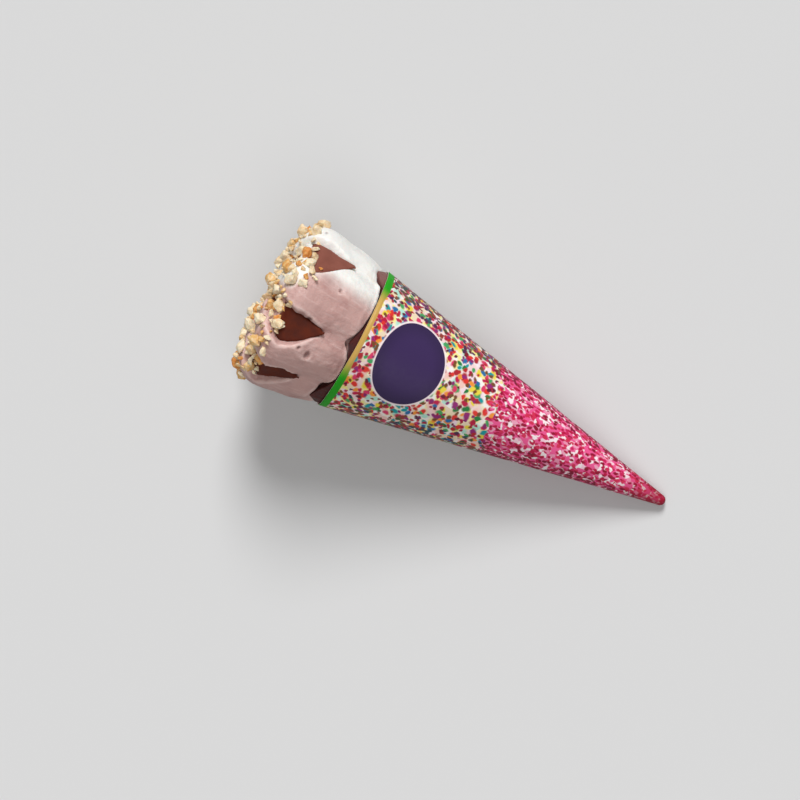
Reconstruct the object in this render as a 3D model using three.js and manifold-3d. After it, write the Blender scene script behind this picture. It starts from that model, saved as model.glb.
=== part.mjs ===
// An ice cream cone in its printed paper sleeve, lying on its side as it comes to rest.
//
// The sleeve is one fan-shaped piece of paper, rolled into a cone and glued along a lap.
// It holds a rolled wafer cone with a chocolate lining, filled with ice cream that stands
// above the paper as a crown of swirled lobes. Chocolate sauce lies in the grooves between
// the lobes, and chopped nuts are frozen into the top.
//
// Every piece is drawn upright first, in the cone's own frame: the tip at height 0, the
// axis along +Z, and angle 0 towards the front of the print. The finished group is then
// laid down on one flat of the sleeve. Sizes are in millimetres and angles in degrees.
import * as THREE from "three";
import { ConvexGeometry } from "three/addons/geometries/ConvexGeometry.js";
import { mergeVertices } from "three/addons/utils/BufferGeometryUtils.js";
import Module from "manifold-3d";

// The paper sleeve
const MOUTH_RADIUS = 27;
const SLEEVE_LENGTH = 128;
const NOSE_RADIUS = 2;
const PAPER = 0.35;
const SLEEVE_FLATS = 48;
const LAP_EDGE = 140;
const LAP_WIDTH = 20;
const LAP_RAMP = 14;

// The room between two neighbouring pieces
const CLEARANCE = 0.3;

// The rolled wafer cone
const WAFER = 2;
const WAFER_NOSE = 3.4;
const WAFER_BELOW_MOUTH = 1.6;
const WAFFLE_RELIEF = 0.5;
const WAFFLE_COLUMNS = 24;
const WAFFLE_ROWS = 15;

// The chocolate lining, its plug in the tip and its collar over the wafer's rim
const LINING = 0.9;
const PLUG_HEIGHT = 18;
const COLLAR_INSET = 0.9;
const COLLAR_BELOW_MOUTH = 0.4;
const SPILLS = [
  { at: -3, span: 38, height: 3 },
  { at: -66, span: 62, height: 5.4 },
  { at: 68, span: 46, height: 4.2 },
];

// The crown of ice cream above the mouth
const CROWN_HEIGHT = 35;
const CROWN_INSET = 1.2;
const SHOULDER_RADIUS = 9;
const DOME_RADIUS = 110;
const LOBE_BULGE = 0.9;
const GROOVES_AT = [-50, -7, 53, 113, 173, 241];
const GROOVE_START = 11.8;
const GROOVE_FLARE = 37;
const GROOVE_RAMP = 48;
const GROOVE_DEPTH = 7;
const GROOVE_SHARE = 0.54;
const GROOVE_FOOT = 0.6;
const GROOVE_LEAN_LENGTH = 13;
const GROOVE_LEAN_PER_MM = -0.8;
const SWIRL_PER_MM = 0.7;
const POOL_RADIUS = 10;
const POOL_DEPTH = 5;

// The columns of the crown's surface, from the middle of one groove to the middle of the
// next lobe: its middle, the foot and the brink of its wall, then the lobe's own columns.
const COLUMNS_TO_BRINK = 2;
const COLUMNS_ON_LOBE = 2;
const CLOSED_GROOVE_SHARE = 0.03;

// The chocolate sauce, which slopes down from each groove's start to one level
const SAUCE_LEVEL = 2.6;
const SAUCE_RAMP = 17;

// The chopped nuts
const NUT_COUNT = 54;
const NUT_LENGTH = 7;
const NUT_WIDTH = 5.4;
const NUT_SUNK = 0.4;
const NUT_CORNERS = 11;
const NUT_CAP_SHARE = 0.54;

const COLOURS = {
  paper: 0xd8466f,
  wafer: 0xc58a4a,
  chocolate: 0x4a2218,
  iceCream: 0xc9a59c,
  sauce: 0x5d2c20,
  nut: 0xdcb27a,
};

const { cos, sin, tan, asin, atan, atan2, sqrt, abs, min, max, PI } = Math;
const TURN = 2 * PI;
const radians = THREE.MathUtils.degToRad;
const smoothstep = THREE.MathUtils.smoothstep;
const wasm = await Module();
wasm.setup();

// The slope of the sleeve's wall: the tangent from the edge of the mouth to the nose.
const toMouth = new THREE.Vector2(MOUTH_RADIUS, SLEEVE_LENGTH - NOSE_RADIUS);
const HALF_ANGLE =
  atan2(toMouth.x, toMouth.y) - asin(NOSE_RADIUS / toMouth.length());

// The radius, at a height, of a wall that lies inside the sleeve's outer face by inset.
function wallRadius(inset, height) {
  const atSleeve = MOUTH_RADIUS - (SLEEVE_LENGTH - height) * tan(HALF_ANGLE);
  return atSleeve - inset / cos(HALF_ANGLE);
}

// The height of the centre of a nose that ends such a wall.
function noseCentre(inset, noseRadius) {
  const radius = (inset + noseRadius) / cos(HALF_ANGLE);
  return SLEEVE_LENGTH - (MOUTH_RADIUS - radius) / tan(HALF_ANGLE);
}

// A wall's profile from the axis, round its nose and up to a height in equal rows.
function coneProfile(inset, noseRadius, top, rows = 1) {
  const noseSteps = 5;
  const centre = noseCentre(inset, noseRadius);
  const points = [];
  for (let step = 0; step <= noseSteps; step++) {
    const turned = -PI / 2 + ((PI / 2 - HALF_ANGLE) * step) / noseSteps;
    const radius = step ? noseRadius * cos(turned) : 0;
    points.push(new THREE.Vector2(radius, centre + noseRadius * sin(turned)));
  }
  const low = points.at(-1).y;
  for (let row = 1; row <= rows; row++) {
    const height = low + ((top - low) * row) / rows;
    points.push(new THREE.Vector2(wallRadius(inset, height), height));
  }
  return points;
}

// One closed surface: vertices that meet are merged and collapsed triangles dropped.
function sealed(geometry) {
  geometry.deleteAttribute("normal");
  geometry.deleteAttribute("uv");
  const merged = mergeVertices(geometry, 1e-4);
  const kept = [];
  const index = merged.index.array;
  for (let i = 0; i < index.length; i += 3) {
    const [a, b, c] = index.slice(i, i + 3);
    if (a !== b && b !== c && c !== a) kept.push(a, b, c);
  }
  merged.setIndex(kept);
  return merged;
}

// Revolves a profile about +Z. place returns the radius, height and angle of one point.
function revolve(profile, columns, place) {
  const geometry = new THREE.LatheGeometry(profile, columns);
  const position = geometry.getAttribute("position");
  for (let column = 0; column <= columns; column++) {
    profile.forEach((point, row) => {
      const [radius, height, angle] = place(point, row, column % columns);
      const vertex = column * profile.length + row;
      position.setXYZ(vertex, radius * cos(angle), radius * sin(angle), height);
    });
  }
  return sealed(geometry);
}

// Even columns, with the middle of one flat at the back, where the cone lies on it.
const evenAngle = (column, columns) => PI + ((column + 0.5) * TURN) / columns;

function solidFrom(geometry) {
  return new wasm.Manifold(
    new wasm.Mesh({
      numProp: 3,
      vertProperties: new Float32Array(geometry.getAttribute("position").array),
      triVerts: new Uint32Array(geometry.index.array),
    }),
  );
}

function geometryFrom(solid) {
  const mesh = solid.getMesh();
  const geometry = new THREE.BufferGeometry();
  const position = new THREE.BufferAttribute(mesh.vertProperties, 3);
  geometry.setAttribute("position", position);
  geometry.setIndex(new THREE.BufferAttribute(mesh.triVerts, 1));
  return geometry;
}

// The largest body of a solid, without the crumbs that a cut can leave beside it.
function mainBody(solid) {
  return solid.decompose().reduce((a, b) => (a.volume() > b.volume() ? a : b));
}

// The paper's columns: even flats, and two columns at each cut edge of the lap, where
// the outer or the inner face steps by one thickness. Before the lap the sheet climbs.
function lapColumns() {
  const outerEdge = radians(LAP_EDGE);
  const innerEdge = outerEdge - radians(LAP_WIDTH);
  const rampStart = innerEdge - radians(LAP_RAMP);
  const climb = (angle) =>
    PAPER * smoothstep(angle, rampStart, innerEdge);
  const columns = [{ angle: rampStart, outer: 0, inner: 0 }];
  for (let flat = 0; flat < SLEEVE_FLATS; flat++) {
    const angle = THREE.MathUtils.euclideanModulo(
      evenAngle(flat, SLEEVE_FLATS),
      TURN,
    );
    const outer = angle < outerEdge ? climb(angle) : 0;
    const inner = angle < innerEdge ? climb(angle) : 0;
    columns.push({ angle, outer, inner });
  }
  columns.push({ angle: innerEdge, outer: PAPER, inner: PAPER });
  columns.push({ angle: innerEdge, outer: PAPER, inner: 0 });
  columns.push({ angle: outerEdge, outer: PAPER, inner: 0 });
  columns.push({ angle: outerEdge, outer: 0, inner: 0 });
  return columns.sort((a, b) => a.angle - b.angle);
}

function sleeve() {
  const outer = coneProfile(0, NOSE_RADIUS, SLEEVE_LENGTH);
  const inner = coneProfile(PAPER, NOSE_RADIUS - PAPER, SLEEVE_LENGTH);
  const profile = [...outer, ...inner.reverse()];
  const columns = lapColumns();
  return revolve(profile, columns.length, (point, row, column) => {
    const { angle, outer: outerLift, inner: innerLift } = columns[column];
    const lift = row < outer.length ? outerLift : innerLift;
    const fade = min(1, point.x / (2 * NOSE_RADIUS));
    return [point.x + lift * fade, point.y, angle];
  });
}

const WAFER_INSET = PAPER + CLEARANCE;
const WAFER_TOP = SLEEVE_LENGTH - WAFER_BELOW_MOUTH;

// The waffle pattern is a quilt of small pyramids pressed into the outer face.
function wafer() {
  const outer = coneProfile(WAFER_INSET, WAFER_NOSE, WAFER_TOP, WAFFLE_ROWS);
  const inner = coneProfile(WAFER_INSET + WAFER, WAFER_NOSE - WAFER, WAFER_TOP);
  const profile = [...outer, ...inner.reverse()];
  const firstPressed = outer.length - WAFFLE_ROWS;
  return revolve(profile, WAFFLE_COLUMNS, (point, row, column) => {
    const onOuter = row >= firstPressed && row < outer.length - 1;
    const pressed = onOuter && (row + column) % 2;
    const radius = point.x - (pressed ? WAFFLE_RELIEF : 0);
    return [radius, point.y, evenAngle(column, WAFFLE_COLUMNS)];
  });
}

const LINING_INSET = WAFER_INSET + WAFER + CLEARANCE;
const LINING_NOSE = WAFER_NOSE - WAFER - CLEARANCE;
const FILLING_INSET = LINING_INSET + LINING + CLEARANCE;
const PLUG_TOP = noseCentre(LINING_INSET, LINING_NOSE) + PLUG_HEIGHT;

// How far the angle lies round from another one, from minus half a turn to half a turn.
const turnedFrom = (angle, other) =>
  THREE.MathUtils.euclideanModulo(angle - other + PI, TURN) - PI;

// The collar's top is just inside the mouth, and rises where chocolate spilled over.
function collarTop(angle) {
  const rises = SPILLS.map(({ at, span, height }) => {
    const away = abs(turnedFrom(angle, radians(at))) / (radians(span) / 2);
    return height * (1 - smoothstep(away, 0, 1));
  });
  return SLEEVE_LENGTH - COLLAR_BELOW_MOUTH + max(...rises);
}

// The crown's outline: a side in line with the sleeve, a round shoulder and a low dome.
// Each sample holds its place, its outward normal and its length along from the base.
function crownOutline(base) {
  const top = SLEEVE_LENGTH + CROWN_HEIGHT;
  const domeCentre = top - DOME_RADIUS;
  const slope = tan(HALF_ANGLE);
  const atZero = wallRadius(CROWN_INSET + SHOULDER_RADIUS, 0);
  const a = 1 + slope ** 2;
  const b = 2 * (atZero * slope - domeCentre);
  const c =
    atZero ** 2 + domeCentre ** 2 - (DOME_RADIUS - SHOULDER_RADIUS) ** 2;
  const shoulderHeight = (-b + sqrt(b ** 2 - 4 * a * c)) / (2 * a);
  const shoulder = new THREE.Vector2(
    atZero + slope * shoulderHeight,
    shoulderHeight,
  );
  const domeNormal = atan2(shoulder.y - domeCentre, shoulder.x);
  const sideTop = shoulderHeight - SHOULDER_RADIUS * sin(HALF_ANGLE);
  const stretches = [
    {
      steps: 7,
      at: (share) => {
        const height = base + (sideTop - base) * share;
        return [wallRadius(CROWN_INSET, height), height, -HALF_ANGLE];
      },
    },
    {
      steps: 6,
      at: (share) => {
        const normal = -HALF_ANGLE + (domeNormal + HALF_ANGLE) * share;
        const radius = shoulder.x + SHOULDER_RADIUS * cos(normal);
        return [radius, shoulder.y + SHOULDER_RADIUS * sin(normal), normal];
      },
    },
    {
      steps: 6,
      at: (share) => {
        const normal = domeNormal + (PI / 2 - domeNormal) * share;
        const radius = share < 1 ? DOME_RADIUS * cos(normal) : 0;
        return [radius, domeCentre + DOME_RADIUS * sin(normal), normal];
      },
    },
  ];
  const samples = [];
  for (const { steps, at } of stretches) {
    for (let step = samples.length ? 1 : 0; step <= steps; step++) {
      const [radius, height, normal] = at(step / steps);
      const last = samples.at(-1);
      const along = last
        ? last.along + sqrt((radius - last.radius) ** 2 + (height - last.height) ** 2)
        : base - SLEEVE_LENGTH;
      samples.push({ radius, height, normal, along });
    }
  }
  return samples;
}

// Each groove, with the pitch to its neighbour on either side.
const GROOVES = GROOVES_AT.map((at, groove) => {
  const pitchTo = (other) => abs(turnedFrom(radians(at), radians(other)));
  const next = GROOVES_AT[(groove + 1) % GROOVES_AT.length];
  const pitches = { before: pitchTo(GROOVES_AT.at(groove - 1)), after: pitchTo(next) };
  return { middle: radians(at), ...pitches };
});

const openingAt = (along) => max(0, along - GROOVE_START);

// Half of the groove's width, as a share of the pitch from one groove to the next.
function grooveHalfShare({ radius, along }, pitch) {
  const flared = openingAt(along) * tan(radians(GROOVE_FLARE));
  return radius > 0 ? min(flared / (pitch * radius), GROOVE_SHARE / 2) : 0;
}

// How deep the ice cream lies under the crests, in a groove or in the central pool.
// The angle is measured from the middle of the nearest groove.
function grooveDepth(sample, angle, pitch) {
  const half = grooveHalfShare(sample, pitch) * pitch;
  const ramp = openingAt(sample.along) * tan(radians(GROOVE_RAMP));
  const across = half > 0 ? abs(angle) / half : 1;
  const wall = THREE.MathUtils.clamp((1 - across) / (1 - GROOVE_FOOT), 0, 1);
  const pool = POOL_DEPTH * (1 - smoothstep(sample.radius, 0, POOL_RADIUS));
  return max(min(GROOVE_DEPTH, ramp) * wall, pool);
}

// How deep the sauce lies under the crests.
function sauceDepth({ along }) {
  return min(SAUCE_LEVEL, openingAt(along) * tan(radians(SAUCE_RAMP)));
}

// The lobes stand proud between their grooves, and die out at the base and the centre.
function lobeRise({ radius, along }, angle, pitch) {
  const rise = (LOBE_BULGE * (1 - cos((TURN * angle) / pitch))) / 2;
  return rise * smoothstep(along, 0, GROOVE_START) * min(1, radius / MOUTH_RADIUS);
}

// The grooves lean one way up the side, then swirl the other way over the top.
function swirlAt(along) {
  const leaning = min(openingAt(along), GROOVE_LEAN_LENGTH);
  const swirling = openingAt(along) - leaning;
  return radians(GROOVE_LEAN_PER_MM * leaning + SWIRL_PER_MM * swirling);
}

// The crown's columns: each one's groove, and its place beside the middle of that groove.
const CROWN_COLUMNS = [];
for (const { middle, before, after } of GROOVES) {
  const reach = COLUMNS_TO_BRINK + COLUMNS_ON_LOBE;
  for (let step = 1 - reach; step <= reach; step++) {
    CROWN_COLUMNS.push({ middle, step, pitch: step < 0 ? before : after });
  }
}

// The angle from the groove's middle to one column, which follows the groove as it opens.
function columnAngle(sample, { step, pitch }) {
  const brink = max(grooveHalfShare(sample, pitch), CLOSED_GROOVE_SHARE);
  const places = [0, brink * GROOVE_FOOT, brink];
  for (let column = 1; column <= COLUMNS_ON_LOBE; column++) {
    places.push(brink + ((0.5 - brink) * column) / COLUMNS_ON_LOBE);
  }
  return Math.sign(step) * places[abs(step)] * pitch;
}

// One point of a crown surface, in a column, that lies some depth under the crests.
function onCrown(sample, column, depthAt) {
  const angle = columnAngle(sample, column);
  const rise = lobeRise(sample, angle, column.pitch);
  const out = rise - depthAt(sample, angle, column.pitch);
  const radius = max(0, sample.radius + out * cos(sample.normal));
  const height = sample.height + out * sin(sample.normal);
  return [radius, height, column.middle + angle + swirlAt(sample.along)];
}

// The columns' angles at the crown's foot, which the lining and its collar share.
const FOOT_ANGLES = CROWN_COLUMNS.map(
  (column) => column.middle + columnAngle({ along: 0, radius: 0 }, column),
);

// The lining runs up inside the wafer, over its rim, and out to just inside the paper.
function lining() {
  const underCollar = WAFER_TOP + CLEARANCE;
  const plugRadius = wallRadius(LINING_INSET + LINING, PLUG_TOP);
  const collarRows = ["outside", "inside"];
  const fromWall = coneProfile(LINING_INSET, LINING_NOSE, underCollar);
  const profile = [
    ...fromWall,
    new THREE.Vector2(wallRadius(COLLAR_INSET, underCollar), underCollar),
    ...collarRows.map(() => new THREE.Vector2(1, SLEEVE_LENGTH)),
    new THREE.Vector2(plugRadius, PLUG_TOP),
    new THREE.Vector2(0, PLUG_TOP - LINING),
  ];
  const outside = fromWall.length + 1;
  return revolve(profile, FOOT_ANGLES.length, (point, row, column) => {
    const angle = FOOT_ANGLES[column];
    const inset = [COLLAR_INSET, LINING_INSET + LINING][row - outside];
    if (inset === undefined) return [point.x, point.y, angle];
    return [wallRadius(inset, collarTop(angle)), collarTop(angle), angle];
  });
}

const toPoint = ({ radius, height }) => new THREE.Vector2(radius, height);
const CROWN_BASE = SLEEVE_LENGTH - COLLAR_BELOW_MOUTH + CLEARANCE;

// Above a spill the crown's rows close up, and stay in order by this share of their height.
const CREEP = 0.15;

// The frozen filling: a plain cone inside the lining and the lobed crown above it.
// grown moves the whole crown surface outwards, to cut the room for what lies on it.
function filling(grown = 0) {
  const outline = crownOutline(CROWN_BASE);
  const bottom = PLUG_TOP + CLEARANCE;
  const inLining = [0, wallRadius(FILLING_INSET, bottom)];
  const profile = [
    ...inLining.map((radius) => new THREE.Vector2(radius, bottom)),
    new THREE.Vector2(wallRadius(FILLING_INSET, CROWN_BASE), CROWN_BASE),
    ...outline.map(toPoint),
  ];
  const brim = inLining.length;
  const depthAt = (...place) => grooveDepth(...place) - grown;
  return revolve(profile, CROWN_COLUMNS.length, (point, row, column) => {
    const angle = FOOT_ANGLES[column];
    const foot = collarTop(angle) + CLEARANCE;
    if (row < brim) return [point.x, point.y, angle];
    if (row === brim) return [wallRadius(FILLING_INSET, foot), foot, angle];
    const sample = outline[row - brim - 1];
    const [radius, height, turned] = onCrown(sample, CROWN_COLUMNS[column], depthAt);
    const above = foot + (sample.along - outline[0].along) * CREEP;
    return [radius, max(height, above), turned];
  });
}

// The sauce's upper surface, down to the crown's base.
function sauce() {
  const outline = crownOutline(CROWN_BASE);
  const profile = [new THREE.Vector2(0, CROWN_BASE), ...outline.map(toPoint)];
  return revolve(profile, CROWN_COLUMNS.length, (point, row, column) => {
    const sample = outline[max(0, row - 1)];
    const [radius, height, angle] = onCrown(sample, CROWN_COLUMNS[column], sauceDepth);
    return row ? [radius, height, angle] : [0, CROWN_BASE, angle];
  });
}

// A repeatable source of numbers from 0 to 1.
function numbersFrom(seed) {
  let state = seed;
  return () => {
    state = (state * 1103515245 + 12345) % 2147483648;
    return state / 2147483648;
  };
}

// One chip of nut: the hull of corners spread over a flattened ball.
function nutChip(seed) {
  const next = numbersFrom(seed);
  const goldenTurn = PI * (3 - sqrt(5));
  const corners = [];
  for (let corner = 0; corner < NUT_CORNERS; corner++) {
    const level = 1 - (2 * (corner + 0.5)) / NUT_CORNERS;
    const ring = sqrt(1 - level ** 2);
    const reach = 0.78 + 0.22 * next();
    const turned = corner * goldenTurn + next();
    corners.push(
      new THREE.Vector3(
        (reach * ring * cos(turned) * NUT_LENGTH) / 2,
        (reach * ring * sin(turned) * NUT_WIDTH) / 2,
        (reach * level * NUT_WIDTH) / 2,
      ),
    );
  }
  const chip = new ConvexGeometry(corners);
  const spin = new THREE.Euler(next() * PI, next() * PI, next() * PI);
  return sealed(chip.applyMatrix4(new THREE.Matrix4().makeRotationFromEuler(spin)));
}

// The angle from the nearest groove, and the pitch on that side of it.
function besideGroove(angle) {
  const asides = GROOVES.map(({ middle }) => turnedFrom(angle, middle));
  const nearest = asides.reduce((a, b, n) => (abs(b) < abs(asides[a]) ? n : a), 0);
  const { before, after } = GROOVES[nearest];
  return [asides[nearest], asides[nearest] < 0 ? before : after];
}

// The nuts' places: a sunflower spiral over the top, each one partly sunk in what it met
// and none of them lower than the flat that the cone lies on.
function nutPlaces() {
  const outline = crownOutline(CROWN_BASE);
  const end = outline.at(-1).along;
  const reach = (end - outline[0].along) * NUT_CAP_SHARE;
  const goldenTurn = PI * (3 - sqrt(5));
  const places = [];
  for (let nut = 0; nut < NUT_COUNT; nut++) {
    const along = end - reach * sqrt((nut + 0.5) / NUT_COUNT);
    const above = outline.findIndex((sample) => sample.along >= along);
    const [low, high] = [outline[above - 1], outline[above]];
    const share = (along - low.along) / (high.along - low.along);
    const between = (key) => low[key] + (high[key] - low[key]) * share;
    const sample = {
      along,
      radius: between("radius"),
      height: between("height"),
      normal: between("normal"),
    };
    const angle = nut * goldenTurn;
    const [aside, pitch] = besideGroove(angle - swirlAt(along));
    const met = min(grooveDepth(sample, aside, pitch), sauceDepth(sample));
    const rise = lobeRise(sample, aside, pitch);
    const out = (NUT_WIDTH / 2) * (1 - 2 * NUT_SUNK) + rise - met;
    const height = sample.height + out * sin(sample.normal);
    const radius = sample.radius + out * cos(sample.normal);
    const lowest = (NUT_LENGTH / 2 - wallRadius(0, height)) * cos(PI / SLEEVE_FLATS);
    places.push([max(lowest, radius * cos(angle)), radius * sin(angle), height]);
  }
  return places;
}

function mesh(name, geometry, colour, roughness) {
  const material = new THREE.MeshStandardMaterial({
    color: colour,
    roughness,
    metalness: 0,
  });
  const made = new THREE.Mesh(geometry, material);
  made.name = name;
  return made;
}

// The nuts, and the ice cream and sauce with a pocket cut for each of them.
function crownMeshes() {
  const meshes = [];
  const pockets = [];
  const roomy = 1 + CLEARANCE / (NUT_WIDTH / 2);
  nutPlaces().forEach((place, nut) => {
    const chip = nutChip(nut + 1);
    const solid = solidFrom(chip);
    pockets.push(solid.scale(roomy).translate(place));
    const name = `nut_${String(nut + 1).padStart(2, "0")}`;
    const piece = mesh(name, chip, COLOURS.nut, 0.6);
    piece.position.set(...place);
    meshes.push(piece);
  });
  const allPockets = wasm.Manifold.union(pockets);
  const iceCream = solidFrom(filling()).subtract(allPockets);
  const room = solidFrom(filling(CLEARANCE)).add(allPockets);
  const pour = solidFrom(sauce()).subtract(room);
  meshes.push(
    mesh("ice_cream", geometryFrom(mainBody(iceCream)), COLOURS.iceCream, 0.45),
    mesh("chocolate_sauce", geometryFrom(mainBody(pour)), COLOURS.sauce, 0.25),
  );
  return meshes;
}

// Upright pieces, then turned so that one flat of the sleeve is level and underneath.
const upright = new THREE.Group();
upright.add(
  mesh("paper_sleeve", sleeve(), COLOURS.paper, 0.4),
  mesh("wafer_cone", wafer(), COLOURS.wafer, 0.8),
  mesh("chocolate_lining", lining(), COLOURS.chocolate, 0.35),
  ...crownMeshes(),
);
const flatSlope = atan(tan(HALF_ANGLE) * cos(PI / SLEEVE_FLATS));
upright.rotation.set(0, -(PI / 2 - flatSlope), 0);

// The part stands with its origin under the middle of its box.
const part = new THREE.Group();
part.add(upright);
part.updateMatrixWorld(true);
const box = new THREE.Box3().setFromObject(part, true);
const middle = box.getCenter(new THREE.Vector3());
upright.position.set(-middle.x, -middle.y, -box.min.z);

export default part;
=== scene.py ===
# %% [markdown]
# An ice cream cone in its paper sleeve, lying on a pale table.
#
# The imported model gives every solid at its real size: the paper sleeve, the wafer, the
# chocolate lining, the frozen crown, the sauce and the chopped nuts. This notebook leaves
# them where they are and gives each one the surface that it has on the real thing. The
# paper, the ice cream, the sauce and the nuts get finer meshes that stand for their solids.

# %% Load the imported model
import random
from math import asin, atan, atan2, cos, degrees, pi, radians, sin, sqrt, tan

import bmesh
import bpy
from mathutils import Matrix, Vector, noise
from mathutils.bvhtree import BVHTree


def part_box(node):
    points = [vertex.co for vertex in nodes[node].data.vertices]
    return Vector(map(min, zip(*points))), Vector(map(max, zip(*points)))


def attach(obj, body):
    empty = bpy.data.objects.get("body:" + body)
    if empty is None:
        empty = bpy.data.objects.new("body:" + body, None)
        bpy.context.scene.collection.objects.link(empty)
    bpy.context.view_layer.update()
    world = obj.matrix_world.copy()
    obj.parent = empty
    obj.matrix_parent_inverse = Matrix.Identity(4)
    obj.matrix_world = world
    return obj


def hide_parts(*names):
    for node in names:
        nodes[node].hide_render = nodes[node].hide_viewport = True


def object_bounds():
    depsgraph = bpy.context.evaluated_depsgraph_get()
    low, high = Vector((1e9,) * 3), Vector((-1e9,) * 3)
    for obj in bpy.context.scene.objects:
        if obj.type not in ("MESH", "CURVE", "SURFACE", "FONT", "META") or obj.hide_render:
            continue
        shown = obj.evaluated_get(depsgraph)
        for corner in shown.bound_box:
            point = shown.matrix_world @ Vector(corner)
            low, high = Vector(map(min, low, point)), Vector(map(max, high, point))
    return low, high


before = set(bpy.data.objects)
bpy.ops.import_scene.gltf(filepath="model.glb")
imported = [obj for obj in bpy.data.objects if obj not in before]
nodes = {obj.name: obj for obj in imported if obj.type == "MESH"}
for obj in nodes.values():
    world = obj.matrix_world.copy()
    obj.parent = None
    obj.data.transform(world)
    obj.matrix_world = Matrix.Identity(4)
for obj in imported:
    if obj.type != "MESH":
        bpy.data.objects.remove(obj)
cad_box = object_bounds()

scene = bpy.context.scene
print(len(nodes), "solids loaded")

# %% [markdown]
# The cone has its own frame. Height is measured along its axis from the paper's tip, and
# the angle is measured round it from the front of the print, which faces up. The driving
# sizes are the sleeve's own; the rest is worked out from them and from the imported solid.

# %% The cone's own frame
MM = 0.001
MOUTH_RADIUS = 27 * MM
SLEEVE_LENGTH = 128 * MM
NOSE_RADIUS = 2 * MM
PAPER = 0.35 * MM
SLEEVE_FLATS = 48
FLAT_INSET = cos(pi / SLEEVE_FLATS)

to_mouth = Vector((MOUTH_RADIUS, SLEEVE_LENGTH - NOSE_RADIUS))
HALF_ANGLE = atan2(to_mouth.x, to_mouth.y) - asin(NOSE_RADIUS / to_mouth.length)
LIE = atan(tan(HALF_ANGLE) * FLAT_INSET)
AXIS = Vector((-cos(LIE), 0, sin(LIE)))
FRONT = Vector((sin(LIE), 0, cos(LIE)))
SIDE = Vector((0, 1, 0))

sleeve_low, sleeve_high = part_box("paper_sleeve")
nose_centre = Vector(
    (
        sleeve_high.x - NOSE_RADIUS,
        (sleeve_low.y + sleeve_high.y) / 2,
        NOSE_RADIUS * sin(LIE) / sin(HALF_ANGLE),
    )
)
TIP = nose_centre - AXIS * NOSE_RADIUS


def on_cone(height, angle, radius):
    return TIP + AXIS * height + radius * (cos(angle) * FRONT + sin(angle) * SIDE)


def cone_place(point):
    """The height, angle and radius of a point in the cone's own frame."""
    out = point - TIP
    x, y = out.dot(FRONT), out.dot(SIDE)
    return out.dot(AXIS), atan2(y, x), sqrt(x * x + y * y)


print("half angle", round(degrees(HALF_ANGLE), 2), "tip at", [round(v, 4) for v in TIP])

# %% [markdown]
# The photograph looks almost straight down on the print, from a good distance. The camera
# hangs above the cone, leans a little towards the tip and is turned about its own line of
# sight, which lays the cone across the picture with its tip at the lower right.

# %% Camera
CAMERA_LENS = 135
CAMERA_DISTANCE = 1.0688
CAMERA_TURN = radians(27.77)
CAMERA_LEAN = radians(4.69)
CAMERA_AIM = TIP + Vector((-100.3, -11.75, 23.39)) * MM


def aimed(data, name, place, back, up_hint):
    """An object whose own -Z looks along minus back, with up_hint upwards in its picture."""
    right = up_hint.cross(back).normalized()
    up = back.cross(right)
    turned = Matrix((right, up, back)).transposed().to_4x4()
    made = bpy.data.objects.new(name, data)
    made.matrix_world = Matrix.Translation(place) @ turned
    scene.collection.objects.link(made)
    return made


camera_back = Vector((sin(CAMERA_LEAN), 0, cos(CAMERA_LEAN)))
camera_hint = Vector((-sin(CAMERA_TURN), cos(CAMERA_TURN), 0))
camera_data = bpy.data.cameras.new("camera")
camera_data.lens = CAMERA_LENS
camera_place = CAMERA_AIM + camera_back * CAMERA_DISTANCE
scene.camera = aimed(camera_data, "camera", camera_place, camera_back, camera_hint)
print("camera", round(CAMERA_DISTANCE, 2), "m from the cone")

# %% [markdown]
# Colours are written as they would be picked from a screen, in steps from 0 to 255, and
# turned into the linear numbers that Blender's materials work in. Short helpers add a node
# and wire its inputs in one call, which keeps the materials readable.


# %% Colours and node helpers
def screen(red, green, blue):
    def linear(step):
        share = step / 255
        return share / 12.92 if share <= 0.04045 else ((share + 0.055) / 1.055) ** 2.4

    return (linear(red), linear(green), linear(blue), 1)


def add(tree, kind, inputs=None, **settings):
    """A new node of a shader tree. An input is a number, a colour or another socket."""
    made = tree.nodes.new("ShaderNode" + kind)
    for name, value in settings.items():
        setattr(made, name, value)
    for key, value in (inputs or {}).items():
        if isinstance(value, bpy.types.NodeSocket):
            tree.links.new(value, made.inputs[key])
        else:
            made.inputs[key].default_value = value
    return made


def calc(tree, operation, *values, clamp=False):
    inputs = dict(enumerate(values))
    return add(tree, "Math", inputs, operation=operation, use_clamp=clamp).outputs[0]


def fade(tree, value, start, end):
    """0 up to start, 1 from end, and smooth between them."""
    inputs = {"Value": value, "From Min": start, "From Max": end}
    settings = {"interpolation_type": "SMOOTHSTEP", "clamp": True}
    return add(tree, "MapRange", inputs, **settings).outputs["Result"]


def blended(tree, share, first, second):
    inputs = {0: share, 6: first, 7: second}
    return add(tree, "Mix", inputs, data_type="RGBA").outputs[2]


def shifted(tree, point, shift):
    return add(tree, "VectorMath", {0: point, 1: shift}).outputs[0]


def stretched(tree, point, factors):
    return add(tree, "VectorMath", {0: point, 1: factors}, operation="MULTIPLY").outputs[0]


def palette(tree, pick, colours):
    """One of the colours, in equal shares of pick."""
    ramp = add(tree, "ValToRGB", {"Fac": pick})
    ramp.color_ramp.interpolation = "CONSTANT"
    stops = ramp.color_ramp.elements
    while len(stops) < len(colours):
        stops.new(0)
    for place, colour in enumerate(colours):
        stops[place].position = place / len(colours)
        stops[place].color = screen(*colour)
    return ramp.outputs["Color"]


def material(name):
    """A new material with its node tree and its Principled BSDF."""
    made = bpy.data.materials.new(name)
    made.use_nodes = True
    tree = made.node_tree
    return made, tree, tree.nodes["Principled BSDF"]


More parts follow.
